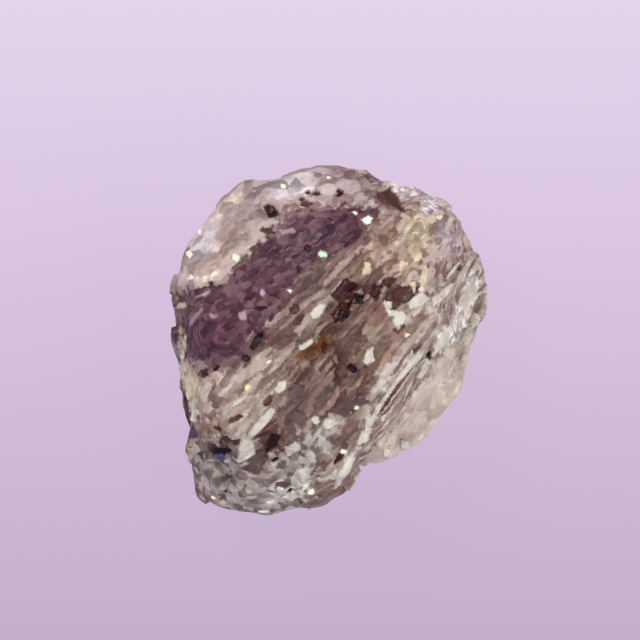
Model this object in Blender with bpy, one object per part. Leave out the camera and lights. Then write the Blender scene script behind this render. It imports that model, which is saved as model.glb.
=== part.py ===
"""A rough scapolite crystal: one broken fragment of a fibrous prism, 53 carats, lying on a flat cleavage face.

Metres, +Z up, at real size. The stone lies as it was photographed from above: +X is the view's right, +Y its top,
and the broadest broken face looks up. The origin is on the surface that it lies on, under the middle of its box.
"""

import math

import bmesh
import bpy
import numpy as np
from mathutils import Vector, noise

MM = 0.001

# Driving sizes, in millimetres, measured from the girdle, which is the stone's widest outline
TOP_HEIGHT = 7.4
BOTTOM_DEPTH = 7.2
RESTING_FACE_DEPTH = 6.5
CAP_SQUARENESS = 3.6
OUTLINE_INSET = 0.15

# The girdle seen from above, as its corners in millimetres, counter-clockwise from +X
GIRDLE = [
    (9.7, 0.0), (10.6, 1.6), (10.8, 2.6), (10.4, 4.5), (10.4, 5.6), (9.5, 7.0), (8.8, 8.3), (7.5, 9.4),
    (6.0, 10.5), (5.1, 10.4), (3.5, 10.8), (1.9, 11.4), (-0.1, 11.6), (-2.0, 11.4), (-3.4, 11.0),
    (-5.6, 10.6), (-6.6, 9.7), (-8.6, 7.7), (-9.7, 6.5), (-10.0, 4.7), (-10.6, 1.4), (-10.4, -0.9),
    (-10.1, -2.4), (-9.5, -5.9), (-9.1, -8.8), (-8.6, -10.4), (-7.7, -11.3), (-6.7, -11.8), (-4.1, -12.1),
    (-2.8, -11.6), (-1.8, -11.6), (-0.5, -11.2), (0.3, -10.4), (0.9, -10.2), (1.8, -8.8), (2.2, -8.5),
    (3.1, -8.5), (4.1, -8.3), (5.5, -7.4), (6.4, -7.0), (7.7, -5.4), (8.3, -4.3), (8.9, -3.6), (9.5, -1.6),
]  # fmt: skip

# Broken faces as (direction it looks in, in degrees from +X, height where it leaves the girdle, slope)
UPPER_FACES = {
    "violet_face": (137, 5.6, 0.15),
    "cream_chamfer": (134, 3.3, 0.95),
    "top_chamfer": (82, 2.6, 1.1),
    "upper_right_face": (38, 4.3, 0.42),
    "right_edge": (3, 1.6, 1.7),
    "fibrous_flank": (-43, 4.4, 0.50),
    "lobe_rim": (-46, 2.5, 1.4),
    "bottom_chamfer": (-104, 2.9, 0.95),
    "lower_left_corner": (-142, 2.2, 1.5),
    "left_side": (183, 1.5, 2.3),
}
LOWER_FACES = {
    "under_left": (172, 2.0, 1.15),
    "under_lower_left": (-134, 1.2, 1.3),
    "under_bottom": (-98, 1.6, 0.85),
    "under_lobe": (-40, 1.3, 1.25),
    "under_right": (8, 1.9, 1.0),
    "under_upper_right": (48, 1.1, 1.35),
    "under_top": (98, 1.7, 0.9),
    "under_upper_left": (137, 2.4, 1.6),
}
FACE_BLEND = 0.25

# The fibres converge on a far point beyond the upper right, so they fan out a little to the lower left
FIBRE_POLE = np.array([30.7, 32.9])

# The cream crust stands proud behind this ragged edge, from left to right
CREAM_EDGE = [
    (-10.5, 3.6), (-8.8, 3.25), (-8.2, 3.65), (-6.9, 3.7), (-6.6, 4.3), (-5.9, 4.7), (-5.5, 5.4), (-4.4, 6.3),
    (-3.7, 6.9), (-3.0, 7.9), (-1.8, 8.9), (-0.1, 8.6), (1.2, 8.8), (2.6, 8.4), (3.5, 8.7), (5.0, 10.5),
]  # fmt: skip
CREAM_RISE = 0.38

# The smooth lobe at the lower right lies a step lower, beyond this distance from the middle fibre
LOBE_LEDGE_AT, LOBE_LEDGE_DROP = 6.7, 0.8

# Hollows in the upper face as (x, y, radius along the fibres, radius across them, depth)
HOLLOWS = [
    (1.4, 2.5, 1.7, 0.85, 0.85),
    (-0.9, -0.9, 1.5, 0.75, 0.42),
    (4.7, 2.8, 1.3, 0.65, 0.45),
    (1.7, -2.0, 0.7, 0.5, 0.40),
    (-3.9, -6.9, 1.6, 0.8, 0.50),
    (-7.1, -7.6, 0.8, 0.6, 0.40),
    (2.3, -8.2, 1.5, 0.7, 0.50),
    (-3.8, 8.5, 0.8, 0.5, 0.45),
    (-4.7, -0.3, 0.9, 0.5, 0.35),
    (4.2, 9.6, 0.9, 0.6, 0.40),
]

# White splinters that stand proud of the flank as (x, y, half length, half width, height)
WHITE_SPLINTERS = [
    (4.7, -2.8, 2.7, 0.55, 0.55),
    (7.2, -0.6, 2.2, 0.55, 0.50),
    (7.6, 3.0, 1.3, 0.5, 0.45),
    (8.8, 4.6, 1.2, 0.45, 0.35),
    (2.7, -6.4, 1.5, 0.5, 0.40),
    (1.1, -8.7, 1.6, 0.5, 0.45),
    (-4.4, -5.4, 1.6, 0.55, 0.50),
    (-5.6, -7.4, 1.2, 0.5, 0.35),
    (-0.7, 1.8, 0.9, 0.5, 0.45),
    (-3.9, -4.0, 1.4, 0.45, 0.30),
]

# Pieces that the prism breaks into, as (length, width, seed, height difference, tilt)
PLATES = (5.0, 2.3, 3.0, 0.16, 0.30)
SPLINTERS = (4.6, 0.85, 11.0, 0.24, 0.38)
LUMPS = (3.8, 0.24)

DENSE_SUBDIVISIONS = 7
SOLID_TRIANGLES = 9400

STONE_COLOUR = (0.42, 0.33, 0.31, 1.0)
STONE_ROUGHNESS = 0.38


def smooth_step(low, high, values):
    """0 below low, 1 above high, and a smooth rise between them."""
    share = np.clip((values - low) / (high - low), 0.0, 1.0)
    return share * share * (3 - 2 * share)


def fractal(points, size, octaves, seed=0.0):
    """Cloudy noise from about -1 to 1, whose largest lumps are of that size."""
    offset = Vector((seed, -seed, 0.5 * seed))
    return np.array([noise.fractal(Vector(p) / size + offset, 1.0, 2.0, octaves) for p in points])


def girdle_radius(angles):
    """How far the girdle is from the middle in those directions."""
    corners = np.array(GIRDLE)
    corner_angles = np.arctan2(corners[:, 1], corners[:, 0])
    radii = np.hypot(corners[:, 0], corners[:, 1]) - OUTLINE_INSET
    return np.interp(angles, corner_angles, radii, period=2 * math.pi)


def girdle_height(angles):
    """The girdle isn't level: it rises to the right and dips at the lower left."""
    return 0.5 * np.cos(angles - 0.4) + 0.3 * np.cos(2 * angles + 1.1)


def soft_least(first, second):
    """The lesser of two heights, with the edge between the faces worn round."""
    gap = np.maximum(FACE_BLEND - np.abs(first - second), 0.0) / FACE_BLEND
    return np.minimum(first, second) - gap * gap * FACE_BLEND / 4


def broken_cap(x, y, dome, faces):
    """Height of one side of the stone over the girdle: a squarish dome cut by its broken faces."""
    height = dome
    for direction, rim_height, slope in faces.values():
        away = math.radians(direction)
        inward = girdle_radius(away) - x * math.cos(away) - y * math.sin(away)
        height = soft_least(height, np.maximum(rim_height + slope * inward, 0.0))
    return np.maximum(height, 0.0)


def broken_body(directions):
    """Places on the broken body, before its relief, for unit directions from its middle."""
    angles = np.arctan2(directions[:, 1], directions[:, 0])
    level = np.hypot(directions[:, 0], directions[:, 1])
    radius = level ** (2 / CAP_SQUARENESS) * girdle_radius(angles)
    x, y = radius * np.cos(angles), radius * np.sin(angles)
    rise = np.abs(directions[:, 2]) ** (2 / CAP_SQUARENESS)
    upper = broken_cap(x, y, TOP_HEIGHT * rise, UPPER_FACES)
    lower = broken_cap(x, y, BOTTOM_DEPTH * rise, LOWER_FACES)
    z = girdle_height(angles) + np.where(directions[:, 2] >= 0, upper, -lower)
    return np.column_stack([x, y, z])


def fibre_places(points):
    """Each point as (along the fibres, across them, height), in millimetres."""
    to_pole = FIBRE_POLE - points[:, :2]
    far = math.hypot(*FIBRE_POLE)
    turn = np.arctan2(to_pole[:, 1], to_pole[:, 0]) - math.atan2(FIBRE_POLE[1], FIBRE_POLE[0])
    return np.column_stack([far - np.hypot(to_pole[:, 0], to_pole[:, 1]), far * turn, points[:, 2]])


def reach_along_fibres(places, x, y, long_radius, short_radius):
    """0 at a place on the upper face, 1 at the rim of an ellipse round it that is drawn out along the fibres."""
    middle = fibre_places(np.array([[x, y, 0.0]]))[0]
    return np.hypot((places[:, 0] - middle[0]) / long_radius, (places[:, 1] - middle[1]) / short_radius)


def crystal_facets(places, pieces):
    """Relief of the flat-topped pieces that the stone breaks into: each has its own height and its own tilt."""
    length, width, seed, step, tilt = pieces
    heights = np.empty(len(places))
    for i, (along, across, z) in enumerate(places):
        spot = Vector((along / length + seed, across / width, z / width))
        middle = noise.voronoi(spot)[1][0]
        own = noise.cell_vector(middle * 31.7 + Vector((seed, 2.3, 5.1)))
        lean = spot - middle
        heights[i] = step * (2 * own.x - 1) + tilt * width * ((own.y - 0.5) * lean.y + (own.z - 0.5) * lean.x)
    return heights


def ledge_relief(points, places, wander):
    """The raised cream crust and the lowered lobe."""
    edge_x, edge_y = np.array(CREAM_EDGE).T
    behind = points[:, 1] - np.interp(points[:, 0], edge_x, edge_y) + 0.4 * wander
    cream = smooth_step(-0.12, 0.12, behind)
    lobe = smooth_step(LOBE_LEDGE_AT - 0.2, LOBE_LEDGE_AT + 0.2, places[:, 1] + 0.5 * wander)
    return CREAM_RISE * cream - LOBE_LEDGE_DROP * lobe


def feature_relief(places, wander):
    """The hollows and the white splinters, which are told apart from a step away."""
    height = np.zeros(len(places))
    for x, y, long_radius, short_radius, depth in HOLLOWS:
        reach = reach_along_fibres(places, x, y, long_radius, short_radius)
        height -= depth * (1 - smooth_step(0.35, 1.0, reach + 0.5 * wander))
    for x, y, half_length, half_width, proud in WHITE_SPLINTERS:
        reach = reach_along_fibres(places, x, y, half_length, half_width)
        height += proud * np.clip(1.25 * (1 - reach), 0.0, 1.0)
    return height


def relief(points, normals):
    """How far the surface stands proud of the broken body at each point, in millimetres."""
    places = fibre_places(points)
    across = places[:, 1]
    upper = smooth_step(0.15, 0.55, normals[:, 2])
    wander = 0.45 * fractal(points, 1.8, 2, seed=5.0)
    wandered = places + 0.5 * np.column_stack([wander, wander, wander])

    flank = smooth_step(-4.6, -2.0, across + wander) * (1 - 0.8 * smooth_step(6.6, 7.4, across + wander))
    fibrous = 0.2 + upper * (0.8 * flank) + 0.25 * (1 - upper)
    lump_size, lump_height = LUMPS
    height = lump_height * fractal(points, lump_size, 3)
    height += (0.6 + 0.4 * flank) * crystal_facets(wandered, PLATES)
    height += fibrous * crystal_facets(wandered, SPLINTERS)
    return height + upper * (ledge_relief(points, places, wander) + feature_relief(places, wander))


def vertex_values(mesh, name, width=3):
    """One of the mesh's per-vertex values as an array."""
    values = np.empty(len(mesh.vertices) * width)
    mesh.vertices.foreach_get(name, values)
    return values.reshape(-1, width)


def dense_stone():
    """A dense ball shaped into the broken body and given its relief, in millimetres from the girdle's middle."""
    bpy.ops.mesh.primitive_ico_sphere_add(subdivisions=DENSE_SUBDIVISIONS, radius=1.0)
    ball = bpy.context.object
    directions = vertex_values(ball.data, "co")
    directions /= np.linalg.norm(directions, axis=1)[:, None]
    body = broken_body(directions)
    ball.data.vertices.foreach_set("co", body.ravel())
    ball.data.update()
    normals = vertex_values(ball.data, "normal")
    ball.data.vertices.foreach_set("co", (body + normals * relief(body, normals)[:, None]).ravel())
    ball.data.update()
    return ball


def ground_cutter():
    """A block whose top is the plane that the stone rests on."""
    side = 4 * BOTTOM_DEPTH
    bpy.ops.mesh.primitive_cube_add(size=side, location=(0, 0, -RESTING_FACE_DEPTH - side / 2))
    block = bpy.context.object
    block.name = "ground_cutter"
    block.hide_render = True
    block.display_type = "WIRE"
    return block


def stone_mesh():
    """The stone's mesh: the dense form thinned to flat facets and cut off flat where it rests."""
    stone, block = dense_stone(), ground_cutter()
    thin = stone.modifiers.new("facets", "DECIMATE")
    thin.ratio = SOLID_TRIANGLES / len(stone.data.polygons)
    cut = stone.modifiers.new("resting_face", "BOOLEAN")
    cut.operation = "DIFFERENCE"
    cut.object = block
    graph = bpy.context.evaluated_depsgraph_get()
    mesh = bpy.data.meshes.new_from_object(stone.evaluated_get(graph))
    for used in (stone, block):
        bpy.data.objects.remove(used)
    return mesh


def stand_on_origin(mesh):
    """Moves the modelled millimetres onto the resting surface, under the middle of the box, in metres."""
    points = vertex_values(mesh, "co")
    low, high = points.min(axis=0), points.max(axis=0)
    middle = np.array([(low[0] + high[0]) / 2, (low[1] + high[1]) / 2, -RESTING_FACE_DEPTH])
    mesh.vertices.foreach_set("co", ((points - middle) * MM).ravel())
    mesh.update()


def triangulate(mesh):
    """Cuts the faces that the resting plane crossed into triangles."""
    shape = bmesh.new()
    shape.from_mesh(mesh)
    bmesh.ops.triangulate(shape, faces=shape.faces[:])
    shape.to_mesh(mesh)
    shape.free()


def stone_material():
    """Mottled grey-violet scapolite, glassy on its fresh breaks."""
    material = bpy.data.materials.new("scapolite")
    material.use_nodes = True
    shader = material.node_tree.nodes["Principled BSDF"]
    shader.inputs["Base Color"].default_value = STONE_COLOUR
    shader.inputs["Roughness"].default_value = STONE_ROUGHNESS
    shader.inputs["Metallic"].default_value = 0.0
    return material


def main():
    for old in list(bpy.data.objects):
        bpy.data.objects.remove(old)
    collection = bpy.data.collections.new("rough_scapolite_crystal")
    bpy.context.scene.collection.children.link(collection)

    mesh = stone_mesh()
    triangulate(mesh)
    stand_on_origin(mesh)
    mesh.materials.clear()
    mesh.materials.append(stone_material())
    collection.objects.link(bpy.data.objects.new("scapolite_crystal", mesh))


main()
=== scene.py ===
"""The looks of a rough scapolite crystal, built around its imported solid.

The solid is remeshed finely, its surface is broken into small crystals along the fibres, and it is painted
crystal by crystal in the zones of the mineral: a cream crust, a violet face, brown and white fibres, a smooth
beige lobe and a grey foot. The sides and the underside break into coarser blocks. Lengths are in millimetres
from the middle of the stone's box until the mesh is finished, and then in metres.
"""

import itertools
import math
from collections import namedtuple

import bmesh
import bpy
import numpy as np
from mathutils import Matrix, Vector, noise


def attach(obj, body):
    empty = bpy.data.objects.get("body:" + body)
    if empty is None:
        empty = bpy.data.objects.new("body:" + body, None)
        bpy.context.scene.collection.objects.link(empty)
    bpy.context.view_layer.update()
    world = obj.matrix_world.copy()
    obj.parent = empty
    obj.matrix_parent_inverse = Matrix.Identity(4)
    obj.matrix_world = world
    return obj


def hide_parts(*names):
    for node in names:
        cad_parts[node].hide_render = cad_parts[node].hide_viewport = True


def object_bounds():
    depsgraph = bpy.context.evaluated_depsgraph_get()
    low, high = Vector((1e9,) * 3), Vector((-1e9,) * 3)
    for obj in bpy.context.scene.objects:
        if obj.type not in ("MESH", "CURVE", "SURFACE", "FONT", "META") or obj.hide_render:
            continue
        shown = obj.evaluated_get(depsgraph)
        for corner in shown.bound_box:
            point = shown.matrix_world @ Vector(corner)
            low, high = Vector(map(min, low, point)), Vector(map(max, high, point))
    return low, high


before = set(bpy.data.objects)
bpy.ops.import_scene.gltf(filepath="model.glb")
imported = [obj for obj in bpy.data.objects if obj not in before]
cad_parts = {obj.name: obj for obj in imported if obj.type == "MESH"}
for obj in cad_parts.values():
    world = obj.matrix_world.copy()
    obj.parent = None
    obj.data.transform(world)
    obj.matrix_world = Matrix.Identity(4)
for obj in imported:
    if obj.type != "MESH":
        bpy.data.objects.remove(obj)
cad_low, cad_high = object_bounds()

MM = 0.001

# The camera looks straight down on the stone, through a long lens
VIEW_WIDTH = 43.3
VIEW_MIDDLE = (-0.61, 1.42)
LENS = 200.0
SENSOR = 36.0
FOCUS_HEIGHT = 7.0

# The fibres converge on a far point beyond the upper right
FIBRE_POLE = np.array([30.6, 33.1])
FAR = math.hypot(*FIBRE_POLE)

# The fine surface: its mesh is twice as fine on faces that point up by more than this share
VOXEL = 0.225
UPWARD = 0.12

# Between these slopes, as shares of straight up, the sides' blocks give way to the upper face's crystals
UPPER_SLOPES = (0.12, 0.4)

# The share of the sides, in percent, that the blocks' relief cuts inwards
BLOCKS_BELOW = 72

# Below this height the zones wander sideways, by this share of the depth
UPPER_FACE = 9.0
ZONE_STRAY = 0.5
STRAY_SIZE = 4.0

# Kinds of small crystal: length along the fibres, width, difference in height, tilt, and roundness
CUTS = {
    "blocks": {"length": 2.4, "width": 1.1, "step": 0.18, "tilt": 0.70, "dome": 0.12, "seed": 7.0},
    "splinters": {"length": 2.3, "width": 0.30, "step": 0.14, "tilt": 0.70, "dome": 0.30, "seed": 4.0},
    "grains": {"length": 0.62, "width": 0.36, "step": 0.05, "tilt": 0.45, "dome": 0.20, "seed": 9.0},
    "lumps": {"length": 1.15, "width": 0.85, "step": 0.04, "tilt": 0.22, "dome": 0.10, "seed": 5.0},
    "chips": {"length": 0.40, "width": 0.24, "step": 0.05, "tilt": 0.40, "dome": 0.20, "seed": 2.0},
}

# Outlines of the zones on the upper face
ZONES = {
    "left_fibres": [(-10.4, 0.2), (-9.4, -1.2), (-8.1, -2.1), (-6.6, -1.4), (-4.7, -0.6), (-3.3, -1.3),
                    (-3.3, -3.7), (-4.5, -5.7), (-6.4, -7.0), (-8.7, -6.7), (-9.7, -4.0)],
    "brown_middle": [(1.1, 4.5), (2.4, 2.8), (4.5, 4.0), (6.0, 3.0), (4.5, 1.4), (3.1, -0.6), (2.8, -3.0),
                     (1.8, -5.0), (0.1, -4.7), (-2.0, -5.7), (-3.3, -3.7), (-2.0, -1.3), (-0.3, 1.4)],
    "upper_right": [(3.7, 11.6), (3.3, 8.9), (2.9, 7.9), (2.1, 6.2), (3.1, 4.8), (4.3, 4.0), (6.0, 3.0),
                    (7.5, 3.8), (9.0, 5.6), (11.2, 6.2), (9.5, 9.8), (5.5, 11.6)],
    "white_fibres": [(11.8, 6.2), (9.0, 5.6), (7.5, 3.8), (6.0, 3.0), (4.5, 1.4), (3.1, -0.6), (2.8, -3.0),
                     (1.8, -5.0), (0.4, -6.7), (-0.9, -8.7), (-2.0, -10.8), (0.4, -10.1), (1.6, -8.5),
                     (3.8, -5.7), (5.5, -3.7), (7.5, -0.6), (9.5, 1.4), (11.8, 3.0)],
    "foot": [(-8.7, -6.7), (-6.0, -6.0), (-3.7, -7.7), (-2.6, -6.7), (0.1, -4.7), (1.4, -5.3), (0.4, -6.7),
             (-0.9, -8.7), (-2.0, -10.8), (0.8, -10.4), (-2.0, -12.6), (-8.7, -12.6), (-10.4, -8.1)],
    "lobe": [(1.6, -8.7), (3.8, -5.7), (5.5, -3.7), (7.5, -0.9), (9.8, 1.3), (10.2, -1.3), (9.2, -4.4),
             (6.6, -7.6), (2.8, -9.4)],
    "violet": [(-10.6, 2.1), (-9.7, 3.5), (-8.9, 3.4), (-8.3, 3.8), (-7.0, 3.9), (-6.6, 4.6), (-5.7, 5.3),
               (-4.5, 6.4), (-3.1, 8.1), (-1.3, 9.1), (1.1, 8.9), (3.3, 8.8), (2.9, 7.9), (1.6, 6.7),
               (-0.7, 5.3), (-2.0, 4.1), (-3.3, 2.2), (-4.5, 1.1), (-5.5, -0.3), (-6.6, -1.4), (-8.1, -2.1),
               (-9.4, -1.2), (-10.4, 0.2)],
    "rim": [(-6.6, 11.6), (-4.5, 9.5), (-3.1, 8.1), (-2.0, 9.1), (-0.3, 8.9), (1.1, 9.1), (3.3, 8.9),
            (3.7, 11.6), (1.1, 12.6), (-2.0, 12.6)],
    "cream": [(-11.6, 2.8), (-9.7, 3.6), (-8.9, 3.5), (-8.3, 3.9), (-7.0, 3.9), (-6.7, 4.5), (-6.0, 4.9),
              (-5.7, 5.6), (-4.5, 6.5), (-3.9, 7.1), (-3.1, 8.1), (-4.5, 9.5), (-6.6, 11.6), (-8.7, 10.2),
              (-10.4, 8.5), (-11.6, 5.8)],
}  # fmt: skip

# Each zone's dark, middle and pale crystals, their kind, how cloudy the zone is, and how soft its outline
Look = namedtuple("Look", "dark middle pale kind cloudy soft")
ZONE_LOOKS = {
    "ground": Look((92, 64, 62), (128, 103, 96), (172, 154, 145), "splinters", 0.2, 0.5),
    "left_fibres": Look((124, 99, 94), (160, 140, 131), (197, 183, 170), "splinters", 0.2, 0.5),
    "brown_middle": Look((84, 54, 49), (116, 91, 81), (156, 136, 121), "splinters", 0.2, 0.8),
    "upper_right": Look((128, 97, 89), (166, 143, 132), (193, 176, 164), "grains", 0.3, 0.6),
    "white_fibres": Look((126, 102, 92), (164, 147, 137), (203, 193, 185), "splinters", 0.2, 0.6),
    "foot": Look((110, 92, 88), (150, 138, 132), (184, 176, 169), "grains", 0.2, 0.5),
    "lobe": Look((182, 165, 154), (199, 184, 173), (215, 204, 194), "lumps", 0.4, 0.3),
    "violet": Look((72, 40, 52), (90, 59, 69), (116, 87, 94), "grains", 0.2, 0.12),
    "rim": Look((144, 118, 113), (178, 158, 154), (200, 186, 184), "lumps", 0.4, 0.25),
    "cream": Look((158, 135, 131), (184, 163, 158), (204, 188, 181), "lumps", 0.5, 0.06),
}

# Softer patches inside the zones, as name: (colour, [(x, y, half length, half width, turn in degrees)])
PATCHES = {
    "deep_violet": ((96, 62, 74), [
        (1.1, 7.7, 1.6, 0.9, 30), (-7.7, 0.4, 2.2, 1.1, 20), (-4.5, 0.1, 0.8, 0.4, 60),
        (1.4, 6.6, 1.6, 0.8, 47), (-2.2, 5.5, 1.6, 0.8, 47),
    ]),
    "brown_violet": ((116, 88, 90), [
        (-2.0, 8.7, 2.2, 0.5, 5), (-9.7, 2.1, 0.7, 1.4, 90), (-6.0, -1.2, 1.4, 0.5, 35),
    ]),
    "grey_fibres": ((106, 82, 78), [
        (-0.3, 4.7, 4.1, 0.6, 47), (-1.3, -3.7, 2.4, 1.2, 45), (1.1, -6.0, 1.5, 0.6, 45),
    ]),
    "maroon": ((88, 60, 62), [
        (-4.0, -6.5, 1.2, 0.7, 60), (-9.7, -5.0, 1.6, 0.5, 105), (-7.2, -7.2, 1.0, 0.35, 10),
        (1.6, -1.8, 0.5, 0.5, 0), (4.5, 3.1, 1.4, 0.5, 20),
    ]),
    "brown": ((108, 80, 73), [
        (0.7, 0.4, 1.6, 1.0, 60), (0.4, 2.0, 1.1, 0.8, 40), (3.3, 9.5, 1.0, 0.6, -40),
        (2.9, 11.2, 0.9, 0.45, -30), (2.8, 1.8, 1.2, 0.8, 0),
    ]),
    "ochre": ((88, 58, 44), [(-1.2, -0.9, 1.0, 0.6, 45)]),
    "beige_brown": ((134, 107, 95), [
        (3.8, -0.3, 2.0, 0.9, 50), (3.8, 7.0, 1.2, 0.9, 60), (2.2, 4.8, 1.2, 0.9, 40),
        (-7.7, -5.7, 1.0, 0.5, 30),
    ]),
    "mauve_brown": ((152, 127, 125), [
        (1.4, 11.1, 1.2, 0.4, -15), (-9.5, 6.6, 1.8, 0.45, 65), (-4.5, 8.5, 0.6, 0.5, 0),
        (-3.0, 8.9, 1.2, 0.4, 10),
    ]),
    "mauve_grey": ((172, 153, 153), [
        (-5.3, 9.9, 1.0, 0.6, 30), (-4.0, 10.2, 1.4, 0.6, 20),
        (7.9, 7.0, 1.4, 0.9, -60),
    ]),
    "pink": ((184, 158, 148), [
        (-6.2, 6.7, 1.4, 0.9, 60), (-7.7, 5.1, 0.9, 0.5, 0),
    ]),
    "straw": ((190, 173, 148), [
        (5.8, 7.2, 1.5, 0.8, 70), (-9.4, -3.0, 1.3, 0.5, 100), (5.1, 5.1, 1.1, 0.5, 40),
    ]),
    "cream": ((204, 188, 173), [
        (-8.2, 4.3, 1.4, 0.2, 10), (-6.6, 9.2, 1.2, 0.5, 40), (-9.9, -0.3, 0.9, 0.4, 80),
    ]),
    "pale_lilac": ((198, 186, 188), [
        (-8.4, 6.5, 1.5, 0.8, 60), (-2.0, 10.5, 1.2, 0.8, 10), (-3.1, 10.0, 0.8, 0.7, 0),
        (5.1, 10.1, 1.2, 0.6, -30), (6.8, 9.1, 1.0, 0.5, -40),
    ]),
    "white": ((222, 214, 208), [
        (9.4, 2.8, 1.8, 0.8, 80), (8.2, 0.6, 1.5, 0.6, 50), (-2.6, -9.8, 1.6, 0.6, 30),
    ]),
    "grey": ((132, 120, 117), [(-6.7, -9.3, 1.2, 0.5, 10)]),
}  # fmt: skip

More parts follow.
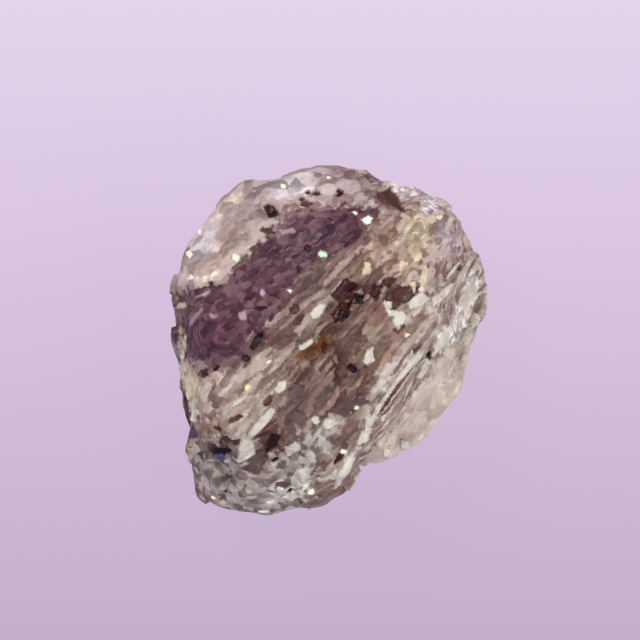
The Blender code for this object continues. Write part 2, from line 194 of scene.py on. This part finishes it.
# Marks on the upper face, as name: (colour, height, [(x, y, half length, half width, turn in degrees)]),
# where a turn of None is along the fibres
MARKS = {
    # painted shade: the deep recess is painted much darker than the brown round it, partly its own dark brown
    # and partly painted shade
    "shaded_deep_recess": ((62, 28, 26), -0.22, [
        (1.1, 3.3, 0.85, 0.6, None), (0.8, 2.0, 0.75, 0.4, None), (1.9, 2.8, 0.4, 0.35, None),
        (3.1, 3.3, 0.5, 0.4, None), (0.7, -7.7, 0.45, 0.2, None),
    ]),
    # painted shade: the recess floor is painted near black, partly its own dark colour and partly painted
    # shade
    "shaded_recess_floor": ((38, 10, 12), -0.1, [
        (0.9, 1.8, 0.4, 0.3, None), (2.0, 2.8, 0.25, 0.25, 60), (1.5, -1.8, 0.35, 0.2, -40),
    ]),
    "brown_hollows": ((84, 56, 50), -0.15, [
        (3.8, 3.9, 0.5, 0.3, 20), (4.7, 3.0, 1.0, 0.45, 20), (4.3, 2.4, 0.5, 0.3, 30),
        (4.7, 0.9, 0.35, 0.2, 35),
        (4.2, 9.5, 0.75, 0.42, -50), (-0.8, 9.8, 0.27, 0.17, -15), (-1.4, 9.9, 0.2, 0.12, 30),
        (-1.8, 9.5, 0.2, 0.14, 0), (-1.6, 9.1, 0.4, 0.22, 0), (-4.1, 7.3, 0.45, 0.16, -15),
        (-4.0, -3.9, 0.48, 0.2, 50), (-6.2, -5.1, 0.55, 0.17, 22), (-7.4, -5.8, 0.27, 0.2, 0),
        (-6.9, -6.6, 0.42, 0.26, 0), (-6.1, -6.7, 0.35, 0.2, 10), (5.8, -0.5, 0.4, 0.13, 40),
        (7.5, 2.4, 0.2, 0.2, 0), (8.7, 4.9, 0.25, 0.2, 0), (-2.2, 2.1, 0.35, 0.26, None),
        (-2.1, 1.3, 0.4, 0.3, None), (3.4, 9.6, 0.2, 0.45, 20),
    ]),
    "ochre_patch": ((112, 72, 44), 0.0, [(-1.2, -0.6, 0.8, 0.5, None), (-0.4, 0.1, 0.6, 0.35, None)]),
    "ochre_middle": ((84, 44, 26), 0.0, [(-1.3, -0.8, 0.45, 0.25, None), (-0.3, -0.3, 0.3, 0.25, None)]),
    "rust_hole": ((60, 20, 12), -0.2, [(0.7, 9.9, 0.3, 0.2, 90)]),
    # painted shade: the violet pits are painted almost black, partly their own dark violet and partly painted
    # shade
    "shaded_violet_pits": ((46, 6, 24), -0.12, [
        (-3.9, 8.7, 0.5, 0.26, -38), (-1.4, 6.2, 0.24, 0.2, 0), (-2.0, 4.8, 0.2, 0.17, -30),
        (-4.5, 2.2, 0.34, 0.13, 0), (-4.8, 0.0, 0.62, 0.22, 58), (-5.5, -1.1, 0.26, 0.2, 0),
        (-7.5, -1.8, 0.26, 0.1, 30), (-3.7, -6.6, 0.6, 0.36, None), (-4.1, -7.2, 0.28, 0.16, None),
    ]),
    "violet_streaks": ((70, 40, 56), 0.0, [
        (-6.9, -0.6, 1.1, 0.42, -10), (-8.0, 0.8, 0.7, 0.3, None), (-6.3, 1.4, 0.9, 0.3, None),
        (-5.2, 4.4, 0.7, 0.28, None), (-4.1, 6.3, 0.7, 0.3, None), (-0.4, 7.2, 0.7, 0.3, None),
        (1.5, 6.9, 0.8, 0.35, None), (0.9, 8.1, 0.5, 0.22, None), (-3.5, 5.7, 0.4, 0.22, None),
        (-2.1, 5.7, 0.25, 0.14, 0), (-3.4, 5.8, 0.3, 0.2, 0), (-8.3, -2.1, 0.36, 0.33, 0),
    ]),
    "mauve_hollows": ((100, 80, 80), -0.12, [
        (-4.8, -7.8, 0.65, 0.5, None), (-5.1, -8.5, 0.9, 0.35, 10), (-7.0, -9.3, 0.36, 0.2, 20),
        (-2.1, -3.3, 0.6, 0.42, None), (1.6, -3.5, 0.35, 0.28, 0), (1.1, -4.2, 0.8, 0.5, None),
        (-8.5, -7.7, 0.35, 0.3, -40), (-3.1, -9.6, 0.5, 0.26, 10), (2.2, -4.0, 0.32, 0.28, 0),
        (1.0, -7.0, 0.4, 0.16, None), (-2.0, -5.0, 0.5, 0.5, 0),
    ]),
    # painted shade: the navy pits are painted almost black, partly their own dark colour and partly painted
    # shade
    "shaded_navy_pits": ((30, 16, 30), -0.15, [(-7.3, -7.4, 0.5, 0.26, 10), (-9.2, -5.6, 0.3, 0.14, -60)]),
    "navy_patches": ((84, 74, 104), 0.0, [(-9.0, -6.1, 0.4, 0.3, -50), (-7.2, -7.8, 0.35, 0.25, 0)]),
    "white_splinters": ((205, 198, 186), 0.12, [
        (4.65, -2.6, 2.5, 0.3, None), (6.3, -1.75, 0.85, 0.24, None), (7.5, 0.15, 1.1, 0.33, None),
        (1.05, -8.55, 1.4, 0.32, None), (2.8, -5.15, 0.75, 0.26, None), (2.2, -6.45, 0.6, 0.24, None),
        (7.4, 3.1, 0.9, 0.24, 40), (8.3, 4.8, 0.7, 0.1, None), (8.9, 4.6, 1.0, 0.16, None),
        (4.5, 1.5, 0.4, 0.65, 0), (5.9, 2.6, 0.8, 0.36, 25), (3.8, 2.4, 0.4, 0.26, -30),
        (9.3, 3.1, 1.0, 0.5, None), (9.3, 0.4, 0.6, 0.35, 70), (8.1, -1.8, 0.95, 0.16, 60),
        (-4.5, -5.3, 1.35, 0.27, None), (-5.9, -3.9, 0.75, 0.17, 32), (-5.5, -7.2, 0.45, 0.85, -10),
        (-0.75, 2.0, 0.68, 0.36, 48), (-1.5, -0.15, 0.6, 0.17, 32),
        (-3.2, -3.0, 0.45, 0.26, None), (-0.1, -5.4, 0.45, 0.42, 0),
        (-0.9, -5.2, 0.34, 0.24, 0), (-2.4, -7.0, 0.55, 0.32, 40), (-2.0, -9.1, 0.75, 0.5, 40),
        (-2.2, -10.2, 0.55, 0.27, 30), (-9.0, -4.7, 0.33, 0.6, 10), (-9.9, -1.6, 0.4, 0.7, 10),
        (4.1, 1.9, 0.27, 0.25, 0), (2.6, -1.0, 0.35, 0.5, -10), (5.1, -6.9, 0.33, 0.33, 0),
        (3.9, -7.4, 0.33, 0.33, 0), (9.1, -1.15, 0.28, 0.28, 0), (4.3, -6.0, 0.8, 0.16, 58),
        (5.6, -3.5, 0.55, 0.16, 45), (9.8, 1.4, 0.3, 0.6, -15),
    ]),
    "straw_places": ((206, 192, 166), 0.03, [
        (-9.1, -3.0, 0.5, 0.95, 15), (-9.8, 2.4, 0.35, 0.2, 0), (2.5, 4.9, 0.26, 0.42, 10),
        (6.2, 4.3, 0.2, 0.62, -10), (5.5, 3.7, 0.2, 0.27, 0), (-3.7, -8.1, 0.2, 0.13, 0),
        (4.5, 6.5, 0.2, 0.14, 30),
    ]),
    "pink_places": ((196, 160, 150), 0.03, [
        (-10.0, 0.7, 0.2, 0.22, 0), (2.9, 5.7, 0.2, 0.2, 0), (-7.5, -2.2, 0.25, 0.24, 0),
    ]),
    "pale_chips": ((162, 142, 145), 0.05, [
        (-8.9, 1.55, 0.6, 0.15, 48), (-5.7, 1.7, 0.27, 0.27, 0), (-7.7, 1.7, 0.25, 0.16, 0),
        (-8.3, 3.1, 0.48, 0.1, 25), (-2.6, 7.3, 0.4, 0.2, 0), (-3.1, 7.3, 0.27, 0.16, 0),
        (3.8, 7.9, 0.6, 0.13, 45), (-8.6, -1.5, 0.45, 0.26, -20),
    ]),
    # painted shadow: a dark line painted along the lower right of a long white splinter, where its shadow
    # falls
    "splinter_shadow_line": ((88, 55, 50), -0.1, [(4.2, -3.4, 1.75, 0.11, None)]),
    # painted shade: the slashes, cut into the surface, are painted near black, partly their own dark colour
    # and partly painted shade
    "shaded_black_slashes": ((20, 4, 2), -0.2, [
        (6.6, -0.9, 0.27, 0.14, 80), (-2.6, -10.0, 0.27, 0.1, 40), (-6.8, -10.2, 0.28, 0.07, 0),
        (-3.6, -7.85, 0.27, 0.1, 25),
    ]),
}  # fmt: skip

# Painted glints: painted highlights, small bright spots painted in the colour of light glinting off small
# faces, by colour
PAINTED_GLINTS = {
    (255, 252, 236): [(2.55, 8.05, 0.3, 0.28, 40), (1.7, 8.5, 0.16, 0.1, -30), (-3.0, 10.3, 0.17, 0.14, 0),
                      (-9.3, 5.8, 0.2, 0.22, 0), (-9.2, 4.25, 0.18, 0.18, 0), (4.9, 10.1, 0.13, 0.12, 0),
                      (-0.05, 10.9, 0.18, 0.12, 0), (-2.6, 3.35, 0.11, 0.09, 0), (0.95, -7.3, 0.2, 0.17, 0),
                      (-1.15, -10.0, 0.24, 0.16, 0), (1.8, -4.3, 0.15, 0.13, 0), (-4.0, -1.35, 0.13, 0.12, 0),
                      (-8.7, 7.4, 0.16, 0.24, 20), (-4.4, -11.5, 0.4, 0.09, 0),
                      (-7.8, -10.6, 0.17, 0.1, -20)],
    (236, 250, 250): [(6.4, 8.8, 0.22, 0.1, 0), (6.8, 9.0, 0.14, 0.13, 0)],
    (214, 250, 214): [(-6.15, 5.55, 0.22, 0.23, 0), (-0.45, 5.75, 0.26, 0.2, -20)],
    (240, 228, 176): [(5.55, 10.55, 0.18, 0.19, 0), (6.45, 10.1, 0.12, 0.16, 0), (7.3, 8.25, 0.18, 0.14, 0),
                      (-5.4, -3.05, 0.2, 0.16, 20), (-1.8, 8.9, 0.16, 0.07, 0), (5.1, 0.45, 0.13, 0.12, 0)],
    (252, 206, 220): [(6.1, 3.45, 0.17, 0.15, 0)],
    (196, 150, 190): [(-4.4, 3.25, 0.15, 0.2, 0)],
}  # fmt: skip

# How dark and how pale a patch's crystals are, as shares of its own colour
PATCH_SPREAD = (0.55, 1.0, 1.6)

# How strongly the surface reflects, and the light that this adds to every colour, as a share of white
REFLECTION = 0.25
GLOSS = 0.01


def smooth_step(low, high, values):
    """0 below low, 1 above high, and a smooth rise between them."""
    share = np.clip((values - low) / (high - low), 0.0, 1.0)
    return share * share * (3 - 2 * share)


def linear(colour):
    """A colour given as 0 to 255 for the eye, as the light that it gives off."""
    share = np.array(colour[:3]) / 255
    return np.where(share <= 0.04045, share / 12.92, ((share + 0.055) / 1.055) ** 2.4)


def surface_colour(colour):
    """The colour that looks like the given one once the gloss has added its light."""
    return np.maximum(linear(colour) - GLOSS, 0.002)


def fractal(points, size, octaves, seed=0.0):
    """Cloudy noise from about -1 to 1, whose largest clouds are of that size."""
    offset = Vector((seed, -seed, 0.5 * seed))
    return np.array([noise.fractal(Vector(p) / size + offset, 1.0, 2.0, octaves) for p in points])


def fibre_places(points):
    """Each point as (along the fibres, across them, height)."""
    to_pole = FIBRE_POLE - points[:, :2]
    turn = np.arctan2(to_pole[:, 1], to_pole[:, 0]) - math.atan2(FIBRE_POLE[1], FIBRE_POLE[0])
    return np.column_stack([FAR - np.hypot(to_pole[:, 0], to_pole[:, 1]), FAR * turn, points[:, 2]])


def level_places(places):
    """The other way: (x, y) of places given along and across the fibres."""
    turn = places[:, 1] / FAR + math.atan2(FIBRE_POLE[1], FIBRE_POLE[0])
    reach = FAR - places[:, 0]
    return FIBRE_POLE - reach[:, None] * np.column_stack([np.cos(turn), np.sin(turn)])


def rolls(cells, seed):
    """Nine random shares for each cell, the same on every run."""
    spread = np.sin(cells @ np.array([127.1, 311.7, 74.7]) + seed)[:, None]
    return np.modf(np.abs(spread + 1.7) * 43758.5453 * (1 + 0.0137 * np.arange(9)))[0]


def pieces_at(places, length, width, step, tilt, dome, seed):
    """The small crystal that each place is on: its middle, two random shares, and the relief that it gives.

    Each crystal is a tilted, slightly domed facet round its own middle, and the highest facet is what shows.
    """
    size = np.array([length, width, width])
    spots = places / size
    home = np.floor(spots)
    relief = np.full(len(places), -np.inf)
    middles, shares = np.empty_like(spots), np.empty((len(places), 2))
    for offset in itertools.product((-1, 0, 1), repeat=3):
        cells = home + offset
        own = rolls(cells, seed)
        lean = spots - cells - own[:, :3]
        facet = step * (own[:, 3] - 0.5) / width + tilt * ((own[:, 4:7] - 0.5) * lean).sum(axis=1)
        facet -= dome * (lean * lean).sum(axis=1)
        shows = facet > relief
        relief[shows] = facet[shows]
        middles[shows] = (cells + own[:, :3])[shows]
        shares[shows] = own[shows, 7:9]
    return middles * size, shares, relief * width


def inside(spots, outline):
    """How far inside an outline each level spot is, and negative outside it."""
    nearest = np.full(len(spots), 1e9)
    within = np.zeros(len(spots), bool)
    x, y = spots.T
    for (ax, ay), (bx, by) in zip(outline, outline[1:] + outline[:1]):
        side_x, side_y = bx - ax, by - ay
        share = np.clip(((x - ax) * side_x + (y - ay) * side_y) / (side_x**2 + side_y**2), 0, 1)
        nearest = np.minimum(nearest, np.hypot(x - ax - share * side_x, y - ay - share * side_y))
        if ay != by:
            within ^= ((ay > y) != (by > y)) & (x < side_x * (y - ay) / side_y + ax)
    return np.where(within, nearest, -nearest)


def mark_shares(spots, marks, wander, sides=5):
    """How much of each spot one of these marks covers: 1 on a mark, an uneven polygon, and 0 off it."""
    cover = np.zeros(len(spots))
    for x, y, half_length, half_width, turn in marks:
        if turn is None:
            angle = math.atan2(FIBRE_POLE[1] - y, FIBRE_POLE[0] - x)
        else:
            angle = math.radians(turn)
        east, north = spots[:, 0] - x, spots[:, 1] - y
        along = (east * math.cos(angle) + north * math.sin(angle)) / half_length
        across = (north * math.cos(angle) - east * math.sin(angle)) / half_width
        reach = np.full(len(spots), -np.inf)
        for side, own in enumerate(rolls(np.array([[x, y, 0.0]]), 3.0)[0, :sides]):
            facing = 2 * math.pi * (side + 0.7 * own) / sides
            out = 0.75 + 0.35 * own
            reach = np.maximum(reach, (along * math.cos(facing) + across * math.sin(facing)) / out)
        cover = np.maximum(cover, 1 - smooth_step(0.9, 1.1, reach + 0.15 * wander))
    return cover


def smooth(shape, times):
    """Evens out the steps that the remesh leaves."""
    for _ in range(times):
        bmesh.ops.smooth_vert(
            shape, verts=shape.verts[:], factor=0.5, use_axis_x=True, use_axis_y=True, use_axis_z=True
        )


def fine_mesh(node):
    """The solid's surface remeshed evenly, in millimetres, and twice as finely where it faces up."""
    rough = bpy.data.objects.new("rough", node.data.copy())
    bpy.context.scene.collection.objects.link(rough)
    rough.data.transform(Matrix.Scale(1 / MM, 4))
    weld = rough.modifiers.new("weld", "WELD")
    weld.merge_threshold = 0.001
    remesh = rough.modifiers.new("even", "REMESH")
    remesh.mode = "VOXEL"
    remesh.voxel_size = VOXEL
    graph = bpy.context.evaluated_depsgraph_get()
    mesh = bpy.data.meshes.new_from_object(rough.evaluated_get(graph))
    bpy.data.objects.remove(rough)

    shape = bmesh.new()
    shape.from_mesh(mesh)
    smooth(shape, 4)
    shape.normal_update()
    upward = [face for face in shape.faces if face.normal.z > UPWARD]
    edges = list({edge for face in upward for edge in face.edges})
    bmesh.ops.subdivide_edges(shape, edges=edges, cuts=1, use_grid_fill=True)
    bmesh.ops.triangulate(shape, faces=shape.faces[:])
    smooth(shape, 1)
    shape.to_mesh(mesh)
    shape.free()
    return mesh


def vertex_values(mesh, name):
    """One of the mesh's per-vertex vectors as an array."""
    values = np.empty(len(mesh.vertices) * 3)
    mesh.vertices.foreach_get(name, values)
    return values.reshape(-1, 3)


def add_values(mesh, name, kind, values):
    """Stores one value or vector for each vertex under that name, for the material to read."""
    attribute = mesh.attributes.new(name, kind, "POINT")
    field = {"FLOAT": "value", "FLOAT_VECTOR": "vector", "FLOAT_COLOR": "color"}[kind]
    attribute.data.foreach_set(field, np.asarray(values, np.float32).ravel())


def zone_shares(spots, wander):
    """How much of each zone shows at each spot, in the order of ZONE_LOOKS: their sum is 1."""
    shares = np.zeros((len(spots), len(ZONE_LOOKS)))
    shares[:, 0] = 1.0
    for column, (name, outline) in enumerate(ZONES.items(), start=1):
        soft = ZONE_LOOKS[name].soft
        cover = smooth_step(-soft, soft, inside(spots, outline) + 0.25 * wander * (1 + soft))
        shares *= 1 - cover[:, None]
        shares[:, column] = cover
    return shares


def soft_cover(spots, patch, wander):
    """How much of each spot a soft patch covers: 1 in its middle, 0 well outside it."""
    x, y, half_length, half_width, turn = patch
    angle = math.radians(turn)
    east, north = spots[:, 0] - x, spots[:, 1] - y
    along = (east * math.cos(angle) + north * math.sin(angle)) / half_length
    across = (north * math.cos(angle) - east * math.sin(angle)) / half_width
    return 1 - smooth_step(0.55, 1.25, np.hypot(along, across) + 0.3 * wander)


def zone_colours(spots, shares, wander, brightness):
    """The colour of each spot from its share of each zone and its place between dark (0) and pale (1)."""
    colour = np.zeros((len(shares), 3))
    for column, look in enumerate(ZONE_LOOKS.values()):
        shades = (look.dark, look.middle, look.pale)
        palette = np.array([surface_colour(shade) for shade in shades])
        for channel in range(3):
            shade = np.interp(brightness, (0.08, 0.5, 0.92), palette[:, channel])
            colour[:, channel] += shares[:, column] * shade
    spread = np.interp(brightness, (0.08, 0.5, 0.92), PATCH_SPREAD)[:, None]
    for patch_colour, patches in PATCHES.values():
        for patch in patches:
            cover = soft_cover(spots, patch, wander)[:, None]
            colour += cover * (surface_colour(patch_colour) * spread - colour)
    return colour


def zone_stray(points):
    """How far the zones wander sideways at each point: not on the upper face, and more the deeper it lies."""
    depth = np.clip(UPPER_FACE - points[:, 2], 0.0, None)
    swing = [fractal(points, STRAY_SIZE, 2, seed=seed) for seed in (11.0, 15.0)]
    return ZONE_STRAY * depth[:, None] * np.column_stack(swing)


def own_crystals(warped, zone_numbers, upper):
    """Each point's own random share and relief, from the crystal of its zone, or from its block on the sides.

    The blocks' relief is mostly cut inwards, so that the stone keeps its outline.
    """
    _, block_shares, block_relief = pieces_at(warped, **CUTS["blocks"])
    block_relief -= np.percentile(block_relief, BLOCKS_BELOW)
    kinds = np.array([look.kind for look in ZONE_LOOKS.values()])[zone_numbers]
    share, relief = np.empty(len(warped)), np.empty(len(warped))
    for name in ("splinters", "grains", "lumps"):
        these = kinds == name
        _, shares, heights = pieces_at(warped[these], **CUTS[name])
        share[these], relief[these] = shares[:, 0], heights
    share = upper * share + (1 - upper) * block_shares[:, 0]
    return share, upper * relief + (1 - upper) * block_relief


def shape_and_paint(mesh):
    """Gives the fine mesh its crystals and pits, and each vertex its colour, gloss and fibre place.

    The colour includes painted shade in the darkest pits, a painted shadow line and painted glints; the gloss
    is the painted glints' mask.
    """
    points, normals = vertex_values(mesh, "co"), vertex_values(mesh, "normal")
    wander = fractal(points, 0.9, 2, seed=3.0)
    clouds = fractal(points, 1.7, 3, seed=6.0)
    places = fibre_places(points)
    warped = places + 0.16 * np.column_stack([wander, clouds, wander])
    upper = smooth_step(*UPPER_SLOPES, normals[:, 2])

    chip_middles, chip_shares, _ = pieces_at(warped, **CUTS["chips"])
    chip_spots = level_places(chip_middles + places - warped)
    zone_spots = chip_spots + zone_stray(points)
    here = zone_shares(zone_spots, wander)
    share, height = own_crystals(warped, here.argmax(axis=1), upper)
    piece = 0.75 * share + 0.25 * chip_shares[:, 0]
    cloudy = here @ np.array([look.cloudy for look in ZONE_LOOKS.values()])
    brightness = np.clip(0.5 + 1.6 * (1 - 0.5 * cloudy) * (piece - 0.5) + 0.55 * cloudy * clouds, 0.0, 1.0)
    colour = zone_colours(zone_spots, here, wander, brightness)

    mark_spots = 0.15 * chip_spots + 0.85 * points[:, :2]
    # The marks are painted over the colour; the darkest pits, recesses and slashes carry painted shade, and
    # one line is a painted shadow
    for mark_colour, rise, marks in MARKS.values():
        cover = upper * mark_shares(mark_spots, marks, wander)
        target = surface_colour(mark_colour) * (0.85 + 0.3 * piece)[:, None]
        colour += cover[:, None] * (target - colour)
        height += cover * rise
    # Painted glints: painted highlights laid over the colour; their mask also makes them a little glossier in
    # the material
    painted_glint = np.zeros(len(points))
    for glint_colour, glints in PAINTED_GLINTS.items():
        cover = upper * mark_shares(points[:, :2], glints, 0.5 * wander)
        colour += cover[:, None] * (linear(glint_colour) - colour)
        painted_glint = np.maximum(painted_glint, cover)

    low, high = np.array(cad_low) / MM, np.array(cad_high) / MM
    height *= smooth_step(0.0, 0.3, points[:, 2])
    mesh.vertices.foreach_set("co", np.clip(points + normals * height[:, None], low, high).ravel())
    opaque = np.column_stack([np.clip(colour, 0.0, 1.0), np.ones(len(points))])
    add_values(mesh, "tint", "FLOAT_COLOR", opaque)
    add_values(mesh, "fibre", "FLOAT_VECTOR", warped)
    add_values(mesh, "painted_glint", "FLOAT", painted_glint)
    mesh.update()


class Nodes:
    """A short way to add and join a material's nodes."""

    def __init__(self, material):
        material.use_nodes = True
        self.tree = material.node_tree
        self.shader = self.tree.nodes["Principled BSDF"]

    def add(self, kind, inputs=None, **settings):
        node = self.tree.nodes.new("ShaderNode" + kind)
        for name, value in settings.items():
            setattr(node, name, value)
        for socket, value in (inputs or {}).items():
            if isinstance(value, bpy.types.NodeSocket):
                self.tree.links.new(value, node.inputs[socket])
            else:
                node.inputs[socket].default_value = value
        return node

    def join(self, output, socket):
        self.tree.links.new(output, self.shader.inputs[socket])


def scapolite():
    """Mottled glassy crystal: every small face has its own tone and tilt, and the painted glints are a little
    glossier.
    """
    material = bpy.data.materials.new("scapolite_crystal")
    nodes = Nodes(material)
    # The tint holds all the painted colour, the painted shade in the darkest pits and the painted glints
    # included
    tint = nodes.add("Attribute", attribute_name="tint").outputs["Color"]
    fibre = nodes.add("Attribute", attribute_name="fibre").outputs["Vector"]
    # The mask of the painted glints, painted highlights, which makes them a little glossier
    painted_glint = nodes.add("Attribute", attribute_name="painted_glint").outputs["Fac"]

    scaled = nodes.add("VectorMath", {0: fibre, 1: (2.2, 4.2, 4.2)}, operation="MULTIPLY")
    cells = nodes.add("TexVoronoi", {"Vector": scaled.outputs[0], "Scale": 1.0})
    split = nodes.add("SeparateColor", {0: cells.outputs["Color"]})
    tone = nodes.add("MapRange", {"Value": split.outputs[0], "To Min": 0.92, "To Max": 1.08})
    toned = nodes.add("VectorMath", {0: tint, "Scale": tone.outputs[0]}, operation="SCALE")
    nodes.join(toned.outputs[0], "Base Color")

    lean = nodes.add("VectorMath", {0: cells.outputs["Color"], 1: (0.5, 0.5, 0.5)}, operation="SUBTRACT")
    strength = nodes.add("VectorMath", {0: lean.outputs[0], "Scale": 0.25}, operation="SCALE")
    normal = nodes.add("NewGeometry").outputs["Normal"]
    leaned = nodes.add("VectorMath", {0: normal, 1: strength.outputs[0]}, operation="ADD")
    facet = nodes.add("VectorMath", {0: leaned.outputs[0]}, operation="NORMALIZE")
    nodes.join(facet.outputs[0], "Normal")

    rough = nodes.add("MapRange", {"Value": split.outputs[1], "To Min": 0.30, "To Max": 0.62})
    glassy = nodes.add("Math", {0: painted_glint, 1: 0.2}, operation="MULTIPLY")
    roughness = nodes.add("Math", {0: rough.outputs[0], 1: glassy.outputs[0]}, operation="SUBTRACT")
    nodes.join(roughness.outputs[0], "Roughness")
    nodes.shader.inputs["IOR"].default_value = 1.56
    nodes.shader.inputs["Specular IOR Level"].default_value = REFLECTION
    return material


def make_stone():
    """The visible stone, in place of its solid."""
    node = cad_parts["scapolite_crystal"]
    mesh = fine_mesh(node)
    shape_and_paint(mesh)
    mesh.transform(Matrix.Scale(MM, 4))
    mesh.materials.clear()
    mesh.materials.append(scapolite())
    mesh.shade_flat()
    stone = bpy.data.objects.new("crystal", mesh)
    bpy.context.scene.collection.objects.link(stone)
    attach(stone, "root")
    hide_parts("scapolite_crystal")


def make_floor():
    """A plain pale lilac floor, lit from below, and a little lighter towards the top of the view."""
    bpy.ops.mesh.primitive_plane_add(size=2.0)
    floor = bpy.context.object
    floor.name = "floor"
    material = bpy.data.materials.new("floor")
    nodes = Nodes(material)
    place = nodes.add("TexCoord").outputs["Object"]
    north = nodes.add("SeparateXYZ", {0: place}).outputs["Y"]
    share = nodes.add("MapRange", {"Value": north, "From Min": -0.0202, "From Max": 0.0231})
    near, far = (*linear((197, 175, 205)), 1), (*linear((230, 211, 236)), 1)
    blend = nodes.add("MixRGB", {0: share.outputs[0], 1: near, 2: far})
    nodes.join(blend.outputs[0], "Emission Color")
    nodes.shader.inputs["Emission Strength"].default_value = 0.93
    dim = nodes.add("VectorMath", {0: blend.outputs[0], "Scale": 0.05}, operation="SCALE")
    nodes.join(dim.outputs[0], "Base Color")
    nodes.shader.inputs["Roughness"].default_value = 0.9
    nodes.shader.inputs["Specular IOR Level"].default_value = 0.0
    floor.data.materials.append(material)


def add_light(name, place, size, power):
    """A soft square light that looks at the stone."""
    light = bpy.data.objects.new(name, bpy.data.lights.new(name, "AREA"))
    light.data.size = size
    light.data.energy = power
    light.location = place
    light.rotation_euler = (Vector((0, 0, 0.007)) - Vector(place)).to_track_quat("-Z", "Y").to_euler()
    bpy.context.scene.collection.objects.link(light)


def make_lights():
    add_light("key", (-0.2, 0.22, 0.42), 0.2, 1.5)
    add_light("fill", (0.3, -0.16, 0.36), 0.25, 1.4)
    world = bpy.data.worlds.new("studio")
    bpy.context.scene.world = world
    world.use_nodes = True
    background = world.node_tree.nodes["Background"]
    background.inputs["Color"].default_value = (1.0, 0.985, 1.0, 1.0)
    background.inputs["Strength"].default_value = 0.35


def make_camera():
    camera = bpy.data.objects.new("camera", bpy.data.cameras.new("camera"))
    camera.data.lens = LENS
    camera.data.sensor_width = SENSOR
    camera.data.clip_start = 0.01
    distance = VIEW_WIDTH * LENS / SENSOR
    camera.location = Vector((*VIEW_MIDDLE, FOCUS_HEIGHT + distance)) * MM
    bpy.context.scene.collection.objects.link(camera)
    bpy.context.scene.camera = camera
    bpy.context.scene.view_settings.view_transform = "Standard"


make_stone()
make_floor()
make_lights()
make_camera()
